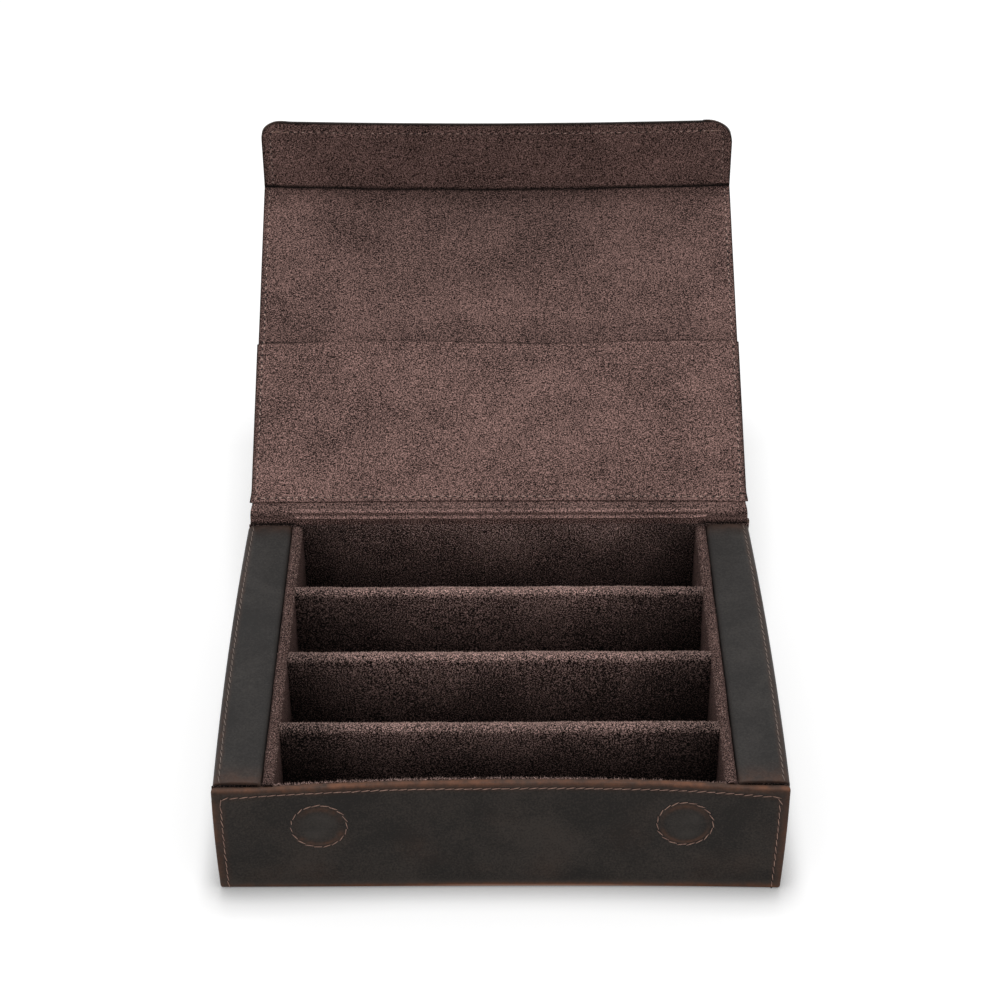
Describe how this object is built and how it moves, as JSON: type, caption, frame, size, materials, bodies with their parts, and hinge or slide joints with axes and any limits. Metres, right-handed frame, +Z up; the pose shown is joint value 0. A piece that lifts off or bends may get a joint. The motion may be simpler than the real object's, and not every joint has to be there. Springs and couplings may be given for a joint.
{
  "type": "watch box",
  "caption": "Low leather storage box with a suede-lined tray of long divided troughs, wide side walls, a hinged lid with a slip pocket, and a magnetic front flap.",
  "frame": {"origin": "middle of the underside of the box, on the surface that it stands on", "axes": "+X to the right seen from the front, +Y towards the back and the opened lid, +Z up"},
  "size_m": [0.21, 0.316, 0.1633],
  "materials": {
    "oiled_leather": "waxed, semi-matte, worn brown at the edges",
    "suede_lining": "brushed suede nap",
    "grey_board": "matte grey board",
    "side_core": "raw fibreboard",
    "magnet_nickel": "nickel plated"
  },
  "bodies": {
    "case": {"base_leather": "oiled_leather", "front_board": "grey_board", "bottom_board": "grey_board", "back_board": "grey_board", "front_lining": "suede_lining", "back_lining": "suede_lining", "floor_lining": "suede_lining", "left_side_core": "side_core", "right_side_core": "side_core", "left_side_leather": "oiled_leather", "right_side_leather": "oiled_leather", "front_magnet_left": "magnet_nickel", "front_magnet_right": "magnet_nickel", "hinge_leather": "oiled_leather", "hinge_lining": "suede_lining", "left_tray_wall_card": "grey_board", "left_tray_wall_suede": "suede_lining", "right_tray_wall_card": "grey_board", "right_tray_wall_suede": "suede_lining", "divider_1_card": "grey_board", "divider_1_suede": "suede_lining", "divider_2_card": "grey_board", "divider_2_suede": "suede_lining", "divider_3_card": "grey_board", "divider_3_suede": "suede_lining"},
    "lid": {"lid_leather": "oiled_leather", "lid_board": "grey_board", "lid_lining": "suede_lining", "lid_pocket": "suede_lining", "fold_leather": "oiled_leather", "fold_lining": "suede_lining"},
    "flap": {"flap_leather": "oiled_leather", "flap_board": "grey_board", "flap_lining": "suede_lining", "flap_magnet_left": "magnet_nickel", "flap_magnet_right": "magnet_nickel"}
  },
  "joints": [
    {"name": "lid_hinge", "type": "hinge", "parent": "case", "child": "lid", "pos_m": [0, 0.0816, 0.0541], "axis": [1, 0, 0], "range_deg": [-40, 154.3], "deforming": ["hinge_leather", "hinge_lining"]},
    {"name": "flap_fold", "type": "hinge", "parent": "lid", "child": "flap", "pos_m": [0, 0.23089, 0.12784], "axis": [1, 0, 0], "range_deg": [-70.9, 19.1], "deforming": ["fold_leather", "fold_lining"]}
  ]
}
